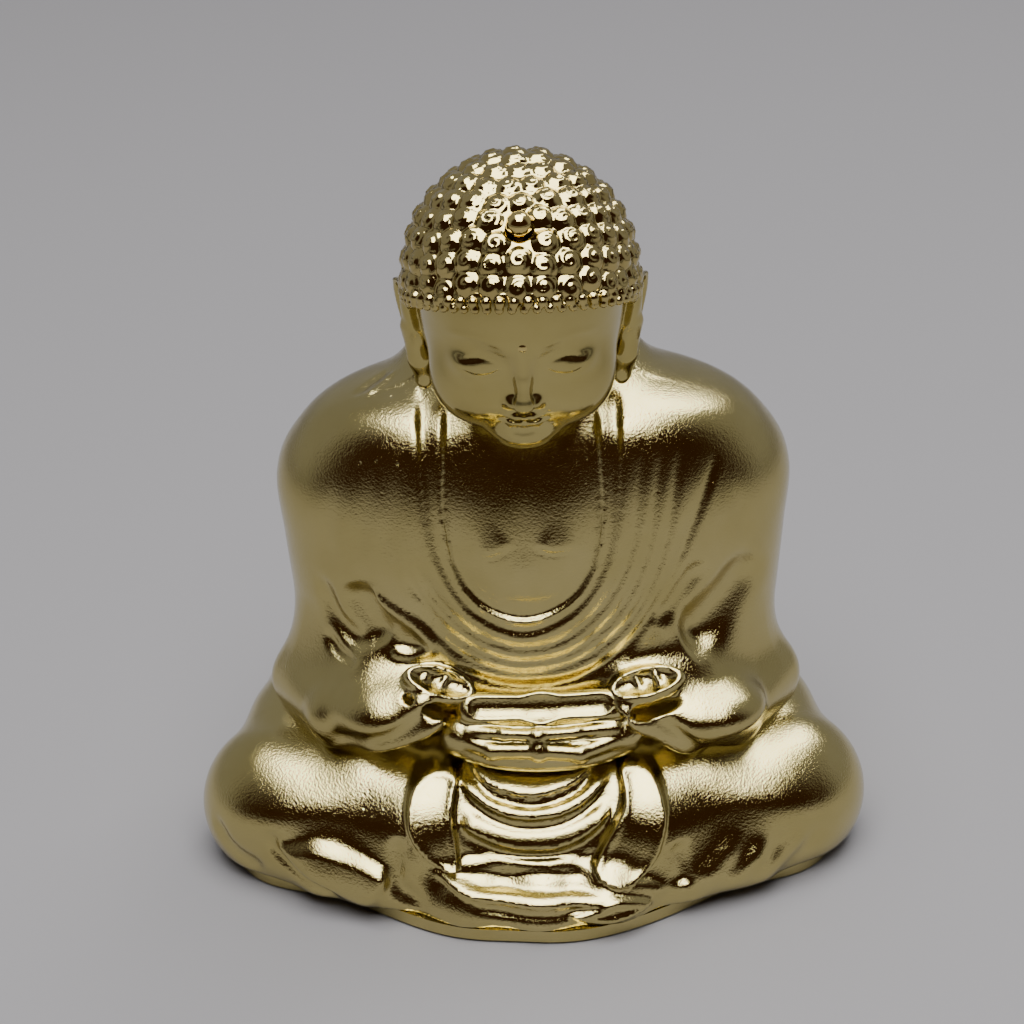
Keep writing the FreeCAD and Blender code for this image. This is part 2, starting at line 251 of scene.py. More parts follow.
class Leaf:
    """A closed outline in (x, z), seen from the front, for cloth that lies on the cloth behind it."""

    def __init__(self, points, count=56):
        self.ring = spline(points + points[:1], count).astype(np.float32)

    def depth(self, x, z):
        """The distance inside the outline, negative outside."""
        best = np.full(len(x), 1e9, np.float32)
        inside = np.zeros(len(x), bool)
        for (x0, z0), (x1, z1) in zip(self.ring, self.ring[1:]):
            run_x, run_z = x1 - x0, z1 - z0
            t = np.clip(((x - x0) * run_x + (z - z0) * run_z) / max(run_x ** 2 + run_z ** 2, 1e-9), 0, 1)
            best = np.minimum(best, (x - x0 - t * run_x) ** 2 + (z - z0 - t * run_z) ** 2)
            if z0 != z1:
                inside ^= ((z0 > z) != (z1 > z)) & (x < x0 + (z - z0) / (z1 - z0) * run_x)
        return np.where(inside, 1, -1) * np.sqrt(best)


def lay(f, p, leaf, height, soft, rim=0.0):
    """Raises the cloth inside a leaf, with a steep side and a rim along it."""
    low = leaf.ring.min(axis=0) - 1.0
    high = leaf.ring.max(axis=0) + 1.0
    index = np.nonzero((p[:, 1] < -7) & (p[:, 0] > low[0]) & (p[:, 0] < high[0])
                       & (p[:, 2] > low[1]) & (p[:, 2] < high[1]))[0]
    depth = leaf.depth(p[index, 0], p[index, 2])
    t = np.clip(0.5 + depth / soft, 0, 1)
    f[index] -= height * t * t * (3 - 2 * t) + rim * np.exp(-((depth - 0.3) / 0.28) ** 2)


# ---- Meshing ----

BLOCK = 4


def sampled(form, low, high, voxel):
    """A form's distances at every voxel of a box: exact in blocks near the surface, coarse elsewhere."""
    span = voxel * BLOCK
    cells = np.ceil((np.array(high) - low) / span).astype(int)
    axes = [low[i] + span * np.arange(cells[i] + 1) for i in range(3)]
    corners = np.stack(np.meshgrid(*axes, indexing="ij"), axis=-1).reshape(-1, 3).astype(np.float32)
    coarse = form(corners).reshape(cells + 1)

    # A block is left coarse when its corners are all far outside the form, or all far inside it.
    least = coarse[:-1, :-1, :-1].copy()
    most = least.copy()
    for dx in (0, 1):
        for dy in (0, 1):
            for dz in (0, 1):
                part = coarse[dx:cells[0] + dx, dy:cells[1] + dy, dz:cells[2] + dz]
                least = np.minimum(least, part)
                most = np.maximum(most, part)
    active = (least < 0.9 * span) & (most > -0.9 * span)

    dense = np.repeat(np.repeat(np.repeat(coarse[:-1, :-1, :-1], BLOCK, 0), BLOCK, 1), BLOCK, 2)
    ijk = np.argwhere(active) * BLOCK
    inner = np.stack(np.meshgrid(*[np.arange(BLOCK)] * 3, indexing="ij"), axis=-1).reshape(-1, 3)
    fine = (ijk[:, None, :] + inner[None]).reshape(-1, 3)
    dense[fine[:, 0], fine[:, 1], fine[:, 2]] = form((low + voxel * fine).astype(np.float32))

    # The sides of the box are outside the form, so the mesh is closed.
    for axis in range(3):
        side = [slice(None)] * 3
        for end in (0, -1):
            side[axis] = end
            dense[tuple(side)] = np.maximum(dense[tuple(side)], voxel)
    return dense.astype(np.float32)


def pulled_onto(form, verts, voxel):
    """Points moved along the form's slope onto its surface, each by a voxel at most."""
    step = voxel / 4
    for _ in range(2):
        here = form(verts)
        slope = np.stack([(form(verts + step * unit) - here) / step
                          for unit in np.eye(3, dtype=np.float32)], axis=1)
        size = np.maximum(np.einsum("ij,ij->i", slope, slope), 0.05)
        verts = verts - np.clip(here / size, -voxel, voxel)[:, None] * slope
    return verts


def mesh_of(name, form, low, high, voxel, material):
    """A closed quad mesh of a form's surface in a box."""
    low = np.array(low, float)
    grid = openvdb.FloatGrid(background=float(voxel * BLOCK))
    grid.copyFromArray(sampled(form, low, high, voxel))
    verts, quads = grid.convertToQuads(0.0)
    verts = pulled_onto(form, (low + voxel * verts).astype(np.float32), voxel)
    mesh = bpy.data.meshes.new(name)
    mesh.from_pydata((verts * MM).tolist(), [], quads[:, ::-1].tolist())
    mesh.update()
    mesh.polygons.foreach_set("use_smooth", np.ones(len(mesh.polygons), bool))
    mesh.materials.append(material)
    piece = bpy.data.objects.new(name, mesh)
    bpy.context.scene.collection.objects.link(piece)
    return piece


# ---- Torso ----

# The trunk as a tower of ovals, moved a little to the viewer's right.
TORSO_OVALS = [(DECK - 1.0, 21.4, -10.2, 17.4, 2.3), (DECK + 2.0, 20.4, -10.0, 16.9, 2.3),
               (DECK + 6.0, 19.5, -9.7, 16.2, 2.3), (21.0, 19.8, -9.5, 15.4, 2.3),
               (26.0, 20.2, -9.2, 14.6, 2.3), (31.0, 20.5, -8.7, 13.6, 2.25),
               (34.5, 19.0, -8.0, 12.6, 2.15), (37.5, 15.8, -6.8, 11.0, 2.1),
               (NECK_BASE - 0.4, 9.4, -5.2, 8.8, 2.0), (NECK_BASE + 1.0, 5.0, -4.0, 6.0, 2.0)]
TORSO_SHIFT = 0.6

# The hems of the sleeves as (x, z), from the hip to the wrist, and the grooves above them.
HEMS = [[(-21.6, 11.0), (-18.5, 11.0), (-14.3, 12.8), (-10.1, 14.2), (-7.5, 15.8), (-6.3, 16.4)],
        [(22.4, 10.6), (18.6, 10.2), (15.4, 10.7), (12.0, 12.4), (9.2, 14.4), (7.2, 16.4), (6.2, 17.2)]]
HEM_GROOVES = [[(-16.8, 13.0), (-13.5, 14.2), (-10.7, 15.2), (-8.3, 16.9), (-6.6, 17.5)],
               [(14.9, 12.0), (13.0, 13.2), (11.0, 14.8), (8.8, 16.8), (7.4, 17.9)]]

# The cloth that hangs from each forearm: the hem is lower on the viewer's right.
DRAPES = {-1: [(18.4, -1.0, 13.6), (15.6, -7.6, 13.9), (11.9, -10.6, 14.9), (8.6, -11.5, 15.9)],
          1: [(19.2, -1.0, 13.0), (16.0, -7.6, 12.9), (12.2, -10.7, 14.1), (8.8, -11.5, 15.6)]}

# The flat upper face of each sleeve, as middle and radii.
SLEEVE_TOPS = {-1: ((-11.0, -9.0, 15.4), (4.4, 3.8, 2.2)), 1: ((13.6, -8.4, 14.6), (5.0, 4.4, 2.3))}


def mirrored(points, side):
    """Points given for the side where x is positive, on the side -1 or 1."""
    return [(side * x, *rest) for x, *rest in points]


FOREARM = [(14.6, -1.0, 16.4), (12.4, -6.8, 16.0), (8.2, -10.7, 16.7)]


def sleeve(p, side):
    """A forearm with the cloth that hangs from it to the hem."""
    forearm = limb(p, mirrored(FOREARM, side), [4.4, 2.8, 1.8])
    drape = limb(p, mirrored(DRAPES[side], side), [2.8, 2.2, 1.8, 1.3])
    top = blob(p, *SLEEVE_TOPS[side])
    return smooth_min(smooth_min(forearm, drape, 2.4), top, 1.2)


def torso_base(p):
    """The trunk with the robe's collar at the nape and both sleeves."""
    f = ovals(p - np.array([TORSO_SHIFT, 0, 0], np.float32), TORSO_OVALS)
    f = smooth_max(f, below(p, NECK_BASE + 0.6), 1.0)
    nape = blob(p, (0, 4.2, NECK_BASE - 1.2), (9.0, 6.8, 4.4))
    f = smooth_min(f, nape, 3.0)
    for side in (-1, 1):
        f = smooth_min(f, sleeve(p, side), 2.5)
    return smooth_max(f, above(p, DECK - 0.4), 0.6)


# The edges and folds that cross the chest in a U, from the inner collar outwards. Each is a list of (x, z)
# that runs from the viewer's left to the right.
COLLAR_INNER = [(-6.1, 40.0), (-6.3, 36.0), (-6.4, 31.5), (-5.6, 27.0), (-3.6, 24.2), (-0.4, 23.0),
                (2.9, 24.2), (5.0, 27.0), (5.8, 31.5), (5.7, 36.0), (5.5, 40.0)]
COLLAR_OUTER = [(-8.2, 40.2), (-8.1, 36.0), (-7.7, 31.0), (-6.6, 27.0), (-4.4, 23.6), (-0.4, 21.8),
                (3.6, 23.6), (5.9, 27.0), (6.9, 31.0), (7.3, 36.0), (7.3, 40.2)]
CHEST_FOLDS = [
    [(-8.8, 28.0), (-7.8, 25.4), (-5.2, 22.3), (-2.4, 20.8), (0.2, 20.4), (3.2, 21.4), (6.4, 24.6),
     (8.3, 29.0), (9.0, 34.5), (9.4, 37.6)],
    [(-9.6, 27.4), (-8.6, 24.8), (-6.4, 21.8), (-3.2, 19.8), (-0.2, 19.2), (3.4, 20.0), (7.0, 23.2),
     (9.3, 28.0), (10.4, 34.2), (10.8, 37.2)],
    [(-9.4, 24.6), (-8.0, 22.4), (-5.2, 19.7), (-2.0, 18.4), (1.2, 18.4), (4.8, 19.7), (8.4, 23.0),
     (10.6, 28.0), (11.8, 34.0), (12.2, 36.6)],
    [(-6.4, 19.2), (-3.2, 17.6), (0.2, 17.2), (4.0, 17.8), (7.6, 20.2), (10.6, 24.4), (12.8, 29.5),
     (14.4, 33.5), (14.8, 35.2)],
]
ARM_FOLDS = [[(-10.2, 36.0), (-10.6, 31.0), (-10.9, 27.0)], [(-12.2, 35.4), (-12.8, 30.5), (-13.2, 26.5)],
             [(-15.0, 34.0), (-15.6, 29.0), (-15.4, 25.5)], [(16.2, 33.0), (17.0, 29.0), (17.4, 26.6)]]
PECTORALS = [[(-4.0, 28.3), (-2.4, 28.7), (-1.0, 29.6)], [(0.3, 29.6), (1.8, 28.8), (4.2, 29.0)]]
LEAF_FOLD = [(-13.2, 25.4), (-11.3, 23.8), (-9.4, 22.6), (-8.0, 21.2), (-8.0, 20.2), (-9.6, 19.8),
             (-11.2, 20.0)]

# Folds across the back as (x, z): the robe is drawn up over the left shoulder and hangs to the deck.
BACK_FOLDS = [[(9.0, 38.0), (3.0, 31.0), (-5.0, 25.5), (-13.0, 23.0), (-18.0, 22.5)],
              [(11.5, 36.5), (6.5, 28.0), (-2.0, 21.0), (-10.0, 17.5), (-17.0, 16.0)],
              [(13.5, 34.5), (10.0, 25.0), (3.0, 17.5), (-5.0, 13.5), (-11.0, 12.0)],
              [(15.5, 31.5), (13.5, 23.0), (9.0, 15.5), (5.0, 12.0)],
              [(6.0, 39.0), (-1.0, 35.0), (-8.0, 33.0), (-14.0, 32.5)]]

torso_curves = {
    "collar_inner": Curve(COLLAR_INNER, torso_base, count=60),
    "collar_outer": Curve(COLLAR_OUTER, torso_base, count=60),
    "chest_folds": [Curve(points, torso_base, count=50) for points in CHEST_FOLDS],
    "arm_folds": [Curve(points, torso_base) for points in ARM_FOLDS],
    "pectorals": [Curve(points, torso_base) for points in PECTORALS],
    "belly": Curve([(-2.6, 24.7), (0.2, 24.4), (2.8, 24.7)], torso_base),
    "breastbone": Curve([(-0.3, 34.0), (-0.3, 30.0), (-0.3, 27.0)], torso_base),
    "left_hollow": Curve([(-13.7, 25.6), (-12.6, 22.6), (-11.2, 20.2)], torso_base),
    "left_spindle": Curve([(-16.4, 25.4), (-15.7, 22.4), (-14.4, 20.7), (-12.6, 20.0)], torso_base),
    "left_hook": Curve([(-16.3, 20.2), (-15.3, 19.0), (-13.6, 18.6)], torso_base),
    "leaf": Curve(LEAF_FOLD, torso_base, count=40),
    "right_trough": Curve([(18.3, 26.4), (16.4, 23.6), (13.6, 21.2), (11.6, 20.2)], torso_base),
    "right_small_trough": Curve([(14.0, 27.0), (11.8, 24.2), (9.8, 21.6)], torso_base),
    "hems": [Curve(points, torso_base, count=50) for points in HEMS],
    "hem_grooves": [Curve(points, torso_base, count=40) for points in HEM_GROOVES],
    "shoulder_slits": [(Curve([(-13.4, 0.2), (-12.0, 1.8), (-10.6, 3.0)], torso_base, 2, 45.0), -0.35),
                       (Curve([(-12.6, -0.6), (-11.2, 0.9), (-9.9, 2.2)], torso_base, 2, 45.0), 0.2)],
    "back_folds": [Curve(points, torso_base, 1, 30.0, 40) for points in BACK_FOLDS],
}


def cuff(f, p, middle, radii, turn, bands):
    """The rolled end of a sleeve: an ear-shaped lip round a hollow with slanting folds in it."""
    under = blob(p, np.add(middle, (0, -0.9, -1.5)), np.multiply(radii, (1.0, 0.9, 0.55)), turn)
    inside = blob(p, np.add(middle, (0, -0.75, 0.85)), np.multiply(radii, (0.86, 0.8, 0.62)), turn)
    f = smooth_max(f, -under, 0.3)
    f = smooth_min(f, blob(p, middle, radii, turn), 0.35)
    f = smooth_max(f, -inside, 0.15)
    for start, end in bands:
        f = smooth_min(f, limb(p, [start, end], [0.34, 0.26]), 0.25)
    return f


# Each cuff: its middle, its radii, its turn, and the ends of the folds in it.
LEFT_CUFF = ((-7.1, -10.5, 18.1), (3.1, 1.5, 1.45), (0, 22, 0),
             [((-8.9, -10.9, 17.8), (-8.2, -10.3, 18.9)), ((-7.8, -11.1, 17.3), (-6.7, -10.3, 18.5)),
              ((-6.6, -11.2, 16.9), (-5.4, -10.4, 17.9))])
RIGHT_CUFF = ((9.0, -10.9, 17.9), (3.2, 1.5, 1.45), (0, -14, 0),
              [((7.4, -11.2, 16.9), (6.9, -10.5, 18.0)), ((8.9, -11.4, 17.2), (8.2, -10.6, 18.4)),
               ((10.6, -11.6, 17.6), (9.7, -10.8, 18.8))])

# The upper chest is hollowed out between the collars.
BREAST_X = -0.3
BREAST_Z = 36.5
BREAST_WIDTH = 6.6
BREAST_HEIGHT = 4.5
BREAST_DEPTH = 0.9
ELBOW_HOLLOW = ((-10.4, -9.4, 21.3), (2.3, 1.5, 1.5), (0, 30, 0))


def torso(p):
    """The draped torso with collars, folds, hems and cuffs."""
    c = torso_curves
    f = torso_base(p)
    from_middle = ((p[:, 0] - BREAST_X) / BREAST_WIDTH) ** 2 + ((p[:, 2] - BREAST_Z) / BREAST_HEIGHT) ** 2
    f += BREAST_DEPTH * np.exp(-from_middle) * (p[:, 1] < 0)
    for curve in c["hems"]:
        ridge(f, p, curve, 0.5, 0.36, 0.15, 0.05)
    for curve in c["hem_grooves"]:
        ridge(f, p, curve, -0.65, 0.55, 0.25, 0.15)
    edge(f, p, c["collar_inner"], -0.5, 0.16, 2.2, 0.05, 0.05)
    edge(f, p, c["collar_outer"], -0.36, 0.16, 1.6, 0.05, 0.05)
    ridge(f, p, c["collar_inner"], 0.26, 0.32, 0.05, 0.05)
    ridge(f, p, c["collar_outer"], -0.16, 0.22, 0.05, 0.05)
    for curve in c["chest_folds"]:
        ridge(f, p, curve, -0.24, 0.34, 0.12, 0.25)
        edge(f, p, curve, -0.26, 0.14, 0.9, 0.12, 0.25)
    for curve in c["arm_folds"]:
        ridge(f, p, curve, -0.10, 0.8, 0.4, 0.4)
    for curve in c["pectorals"]:
        edge(f, p, curve, 0.22, 0.14, 1.6, 0.3, 0.3)
        ridge(f, p, curve, -0.12, 0.3, 0.35, 0.35)
    ridge(f, p, c["belly"], -0.25, 0.42, 0.4, 0.4)
    ridge(f, p, c["breastbone"], -0.10, 0.9, 0.4, 0.4)
    ridge(f, p, c["left_hollow"], -1.5, 1.3, 0.3, 0.3)
    f = smooth_max(f, -blob(p, *ELBOW_HOLLOW), 0.5)
    ridge(f, p, c["leaf"], 0.5, 0.42, 0.12, 0.12)
    ridge(f, p, c["left_spindle"], -0.9, 0.7, 0.3, 0.3)
    ridge(f, p, c["left_hook"], -0.7, 0.45, 0.35, 0.35)
    ridge(f, p, c["right_trough"], -1.7, 1.7, 0.3, 0.3)
    ridge(f, p, c["right_small_trough"], -0.9, 0.8, 0.3, 0.3)
    for curve, depth in c["shoulder_slits"]:
        ridge(f, p, curve, depth, 0.28, 0.3, 0.3)
    for curve in c["back_folds"]:
        edge(f, p, curve, 0.30, 0.25, 1.8, 0.2, 0.2)
        ridge(f, p, curve, -0.22, 0.45, 0.2, 0.2)
    for cuff_shape in (LEFT_CUFF, RIGHT_CUFF):
        f = cuff(f, p, *cuff_shape)
    return f


# ---- Lap ----

LAP_OVALS = [(PLATE_TOP - 1.0, 22.6, -9.0, 18.6, 2.4), (PLATE_TOP + 1.2, 23.5, -9.0, 19.5, 2.4),
             (4.4, 23.8, -9.0, 20.0, 2.4), (DECK + 0.5, 21.6, -9.0, 17.2, 2.4)]

# The parts of the leg on the side where x is positive: the points and radii of each, and how softly its
# cones run into each other.
LEG = ([(14.6, 6.0, 4.6), (20.5, -5.2, 4.4), (9.0, -9.8, 4.2)], [6.2, 6.1, 6.8], 2.0)
THIGH = ([(17.0, -2.6, 6.8), (12.4, -7.4, 7.6), (7.0, -9.2, 7.6)], [4.6, 4.2, 3.8], 2.0)
HIP = ([(15.4, 4.0, 11.0), (18.2, 0.8, 7.6)], [4.2, 4.5], 1.0)
FOOT = ([(20.8, -8.6, 2.8), (16.4, -12.4, 2.6), (12.4, -14.6, 2.2)], [2.7, 2.5, 1.9], 1.0)
KNEE_X = 17.6
KNEE_TURN = 10
APRON = [(-9.6, -14.4, 1.6), (-5.0, -16.0, 1.4), (0.4, -16.6, 1.2), (5.6, -16.0, 1.4), (10.4, -14.2, 1.6)]


def lap_base(p):
    """The crossed legs, the cloth between them and the apron in front."""
    f = ovals(p, LAP_OVALS)
    f = smooth_max(f, below(p, DECK - 0.6), 2.0)
    for side in (-1, 1):
        leg, thigh, hip, foot = (limb(p, mirrored(points, side), radii, k)
                                 for points, radii, k in (LEG, THIGH, HIP, FOOT))
        knee = blob(p, (side * KNEE_X, -7.0, 6.6), (7.6, 6.0, 3.5), (0, side * KNEE_TURN, 0))
        for form, fillet in ((leg, 2.5), (thigh, 1.6), (knee, 1.8), (hip, 3.0), (foot, 2.4)):
            f = smooth_min(f, form, fillet)
    middle = blob(p, (0, -8.8, 6.0), (10.6, 7.8, 6.4))
    apron = limb(p, APRON, [2.5, 2.95, 3.1, 2.95, 2.5], 2.0)
    f = smooth_min(smooth_min(f, middle, 2.0), apron, 1.4)
    return smooth_max(f, above(p, PLATE_TOP), 0.25)


# The cloth between the legs, as (x, z): three swags, two flaps that hang beside them, the lens of cloth over
# the apron and the small triangle at its end. Then the hem panel and the ridges on the legs.
SWAGS = [[(-5.6, 12.0), (-3.7, 10.9), (-2.2, 10.6), (-0.2, 10.4), (1.8, 10.6), (3.9, 11.1), (5.4, 12.0)],
         [(-6.2, 10.9), (-4.2, 9.8), (-2.3, 9.2), (-0.2, 9.0), (2.3, 9.2), (4.4, 9.9), (6.2, 11.0)],
         [(-6.2, 8.4), (-4.3, 7.5), (-2.3, 6.9), (-0.3, 6.7), (2.1, 6.8), (4.3, 7.6), (6.4, 9.2)]]
LEFT_FLAP = [(-6.0, 5.3), (-6.1, 7.0), (-6.4, 8.9), (-6.1, 10.6), (-5.9, 11.3), (-6.6, 11.8), (-7.9, 11.8),
             (-9.3, 11.0), (-9.9, 9.9), (-10.0, 8.4), (-9.5, 7.2), (-8.3, 5.8), (-6.8, 5.1)]
RIGHT_FLAP = [(4.5, 5.3), (5.2, 4.6), (6.9, 4.1), (8.4, 4.5), (9.5, 5.6), (10.1, 7.1), (10.4, 8.5),
              (10.3, 9.5), (9.8, 10.8), (8.9, 11.6), (7.8, 11.9), (6.8, 11.6), (7.0, 10.4), (6.9, 9.3),
              (5.8, 7.5)]
LEFT_FLAP_FOLDS = [[(-9.8, 8.8), (-9.0, 7.3), (-7.0, 5.4)], [(-9.6, 9.8), (-8.6, 8.0), (-6.7, 5.9)],
                   [(-9.0, 10.2), (-8.0, 8.4), (-6.5, 6.6)]]
RIGHT_FLAP_FOLDS = [[(10.1, 8.8), (8.7, 7.1), (5.3, 5.2)], [(9.9, 7.4), (8.9, 6.1), (6.2, 4.6)]]
LENS_LOW = [(-8.4, 4.8), (-5.8, 3.8), (-2.8, 3.3), (0.3, 3.2), (2.6, 3.1), (4.6, 2.9), (6.8, 3.2)]
TRIANGLE = [(2.4, 2.3), (4.6, 2.8), (6.6, 3.4), (9.2, 2.3), (7.2, 1.7), (4.6, 1.6)]
APRON_TOP = [(-7.8, 5.1), (-4.4, 5.2), (-0.4, 5.3), (3.6, 4.9), (6.4, 4.1), (8.8, 3.3), (10.4, 2.4)]
HEM_PANEL = [(-20.4, 5.0), (-17.5, 5.7), (-15.1, 5.4), (-11.9, 4.5), (-12.2, 3.0), (-13.6, 1.4),
             (-16.3, 2.2), (-19.0, 3.4)]
RIGHT_RIDGES = [[(15.9, 6.4), (15.0, 4.2), (12.6, 2.6)], [(18.6, 5.4), (17.4, 3.6), (14.4, 1.8)],
                [(21.6, 5.8), (20.4, 3.4), (17.4, 1.8)]]

lap_curves = {
    "swags": [Curve(points, lap_base, count=40) for points in SWAGS],
    "swag_shadows": [Curve([(x, z - 0.75) for x, z in points], lap_base, count=40) for points in SWAGS],
    "left_flap_folds": [Curve(points, lap_base) for points in LEFT_FLAP_FOLDS],
    "right_flap_folds": [Curve(points, lap_base) for points in RIGHT_FLAP_FOLDS],
    "right_flap_turn": Curve([(7.0, 11.0), (6.9, 9.3), (5.8, 7.5), (4.6, 5.4)], lap_base),
    "left_flap_turn": Curve([(-5.9, 11.2), (-6.4, 8.9), (-6.1, 7.0), (-6.0, 5.5)], lap_base),
    "apron_top": Curve(APRON_TOP, lap_base, count=40),
    "lens_hollow": Curve([(-6.6, 4.6), (-3.6, 4.2), (0.3, 4.2), (3.6, 3.9), (6.0, 3.5)], lap_base),
    "lens": Curve(LENS_LOW, lap_base, count=40),
    "lens_shadow": Curve([(x, z - 0.7) for x, z in LENS_LOW[1:-1]], lap_base, count=40),
    "hem_fold": Curve([(-21.2, 6.4), (-20.6, 4.4), (-18.6, 3.0), (-15.2, 1.7)], lap_base),
    "hem_lip": Curve([(-20.2, 4.9), (-17.5, 5.6), (-15.1, 5.4), (-12.1, 4.5)], lap_base),
    "knee_fold": Curve([(-26.0, 5.8), (-24.6, 3.4), (-21.6, 2.0)], lap_base),
    "right_ridges": [Curve(points, lap_base) for points in RIGHT_RIDGES],
    "right_hollows": [Curve([(x + 1.5, z + 0.2) for x, z in points], lap_base) for points in RIGHT_RIDGES],
    "apron_left": Curve([(-10.4, 7.6), (-11.0, 5.6), (-10.8, 3.4), (-8.4, 1.8)], lap_base),
    "apron_right": Curve([(11.0, 6.6), (11.6, 4.6), (11.4, 2.8)], lap_base),
}
lap_leaves = {"left_flap": Leaf(LEFT_FLAP), "right_flap": Leaf(RIGHT_FLAP), "triangle": Leaf(TRIANGLE),
              "hem_panel": Leaf(HEM_PANEL)}


def lap(p):
    """The legs with the cloth that lies on them."""
    c = lap_curves
    f = lap_base(p)
    for curve in c["apron_left"], c["apron_right"]:
        ridge(f, p, curve, -0.6, 0.7, 0.25, 0.25)
    for curve, shadow in zip(c["swags"], c["swag_shadows"]):
        edge(f, p, curve, 0.6, 0.10, 1.1, 0.12, 0.12)
        ridge(f, p, curve, 0.2, 0.26, 0.12, 0.12)
        ridge(f, p, shadow, -0.35, 0.36, 0.2, 0.2)
    ridge(f, p, c["apron_top"], 0.45, 0.55, 0.12, 0.12)
    ridge(f, p, c["lens_hollow"], -0.3, 0.6, 0.3, 0.3)
    edge(f, p, c["lens"], 0.45, 0.10, 0.9, 0.12, 0.12)
    ridge(f, p, c["lens"], 0.22, 0.26, 0.1, 0.1)
    ridge(f, p, c["lens_shadow"], -0.25, 0.35, 0.2, 0.2)
    lay(f, p, lap_leaves["triangle"], 0.25, 0.3, 0.2)
    ridge(f, p, c["knee_fold"], -0.5, 0.7, 0.3, 0.2)
    ridge(f, p, c["hem_fold"], -0.7, 0.5, 0.25, 0.15)
    lay(f, p, lap_leaves["hem_panel"], 0.55, 1.3)
    ridge(f, p, c["hem_lip"], 0.15, 0.9, 0.3, 0.2)
    for curve, hollow in zip(c["right_ridges"], c["right_hollows"]):
        ridge(f, p, hollow, -0.2, 0.9, 0.5, 0.3)
        ridge(f, p, curve, 0.28, 1.1, 0.5, 0.2)
    for side in ("left_flap", "right_flap"):
        lay(f, p, lap_leaves[side], 0.75, 0.32, 0.12)
        ridge(f, p, c[side + "_turn"], 0.25, 0.26, 0.1, 0.1)
        for curve in c[side + "_folds"]:
            ridge(f, p, curve, -0.5, 0.24, 0.25, 0.25)
    return f


# ---- Hands ----

HANDS_X = 0.8
THUMBS = [(HANDS_X - 5.4, -11.2, 16.3), (HANDS_X, -11.4, 16.3), (HANDS_X + 5.5, -11.2, 16.4)]
# The way that the flat face of the thumbs looks.
THUMB_FACE = np.array([0.0, -0.82, 0.57], np.float32)
LOWER_FINGERS = [(HANDS_X - 7.0, -11.9, 14.5), (HANDS_X - 4.0, -13.5, 13.9), (HANDS_X - 0.3, -14.0, 14.1),
                 (HANDS_X + 2.9, -13.9, 13.7), (HANDS_X + 7.2, -12.0, 14.3)]
UPPER_FINGERS = [(HANDS_X - 5.6, -12.3, 14.9), (HANDS_X - 3.0, -13.2, 15.2), (HANDS_X - 0.3, -13.5, 15.2),
                 (HANDS_X + 2.6, -13.2, 15.2), (HANDS_X + 5.6, -12.4, 15.0)]


def hands(p):
    """Palms one on the other, with the thumbs in a bar above the two rings of the curled first fingers."""
    palms = [(HANDS_X - 6.2, -11.2, 14.0), (HANDS_X, -12.0, 13.7), (HANDS_X + 6.2, -11.2, 14.0)]
    f = limb(p, palms, [1.9, 1.7, 1.9])
    f = smooth_min(f, blob(p, (HANDS_X, -11.4, 12.9), (6.8, 2.9, 1.7)), 0.6)
    bar = limb(p, THUMBS, [1.35, 1.25, 1.35])
    flat = (p - np.array(THUMBS[1], np.float32)) @ THUMB_FACE - 0.95
    bar = smooth_max(bar, flat, 0.25)
    scoop = np.array(THUMBS, np.float32) + 2.15 * THUMB_FACE
    bar = smooth_max(bar, -limb(p, scoop * (0.84, 1, 1), [1.45, 1.5, 1.45]), 0.2)
    f = smooth_min(f, bar, 0.35)
    f = smooth_min(f, limb(p, LOWER_FINGERS, [0.7, 0.62, 0.6, 0.62, 0.7], 0.4), 0.3)
    f = smooth_min(f, limb(p, UPPER_FINGERS, [0.6, 0.42, 0.5, 0.42, 0.6], 0.4), 0.3)
    divider = limb(p, [(HANDS_X - 0.45, -13.6, 15.0), (HANDS_X - 0.3, -14.1, 13.9)], [0.6, 0.62])
    f = smooth_min(f, divider, 0.3)
    for x in (HANDS_X - 1.9, HANDS_X + 2.8):
        f = smooth_min(f, blob(p, (x, -13.3, 14.3), (1.0, 0.5, 0.36)), 0.15)
    return smooth_max(f, above(p, 11.6), 0.3)


# ---- Head, before it is tilted: the face looks along -y and the origin is the middle of the head ----

# The hair meets the face in a plane that slopes up towards the forehead.
HAIRLINE_MIDDLE = 0.9
HAIRLINE_SLOPE = math.radians(33)
HAIR_AXIS = np.array([0.0, math.sin(HAIRLINE_SLOPE), math.cos(HAIRLINE_SLOPE)], np.float32)
SKULL = [(-8.1, 1.4, -7.4, -3.8, 2.0), (-7.5, 3.2, -8.0, -1.4, 2.0), (-6.3, 5.1, -8.5, 3.0, 2.1),
         (-4.4, 6.7, -8.8, 6.6, 2.15), (-1.6, 7.6, -9.0, 8.2, 2.15), (1.5, 7.9, -9.1, 8.8, 2.1),
         (4.5, 7.9, -8.7, 8.8, 2.1), (7.0, 6.8, -7.3, 7.6, 2.0), (9.0, 4.0, -4.2, 4.6, 2.0)]

# Parts of the face on the side where x is positive, as middle, radii and turn.
CHEEK = ((3.4, -5.7, -3.2), (3.4, 3.2, 3.6))
CHIN = ((0, -7.2, -6.9), (2.2, 1.7, 1.3))
EYE_SOCKET = ((3.3, -10.25, 0.3), (2.3, 1.5, 1.1), (0, 0, -12))
EYELID = ((3.1, -7.3, -0.1), (1.9, 1.45, 1.0), (0, 0, -10))

EAR_RIM = [(8.0, -1.0, 0.2), (8.5, 0.5, 1.2), (8.9, 1.9, 0.5), (8.9, 2.3, -1.4), (8.5, 1.7, -3.4),
           (8.0, 0.9, -5.4), (7.6, 0.2, -7.4), (7.3, -0.8, -8.0)]
EAR_LOBE = [(8.0, 0.0, -2.6), (7.6, -0.3, -5.6), (7.3, -0.5, -7.6)]
EAR_SHIFT = np.array([0.25, 0, -0.2], np.float32)


def head_axes(p):
    """Points in the frame of the untilted head."""
    return turned(p, HEAD_CENTRE, (HEAD_TILT, 0, 0))


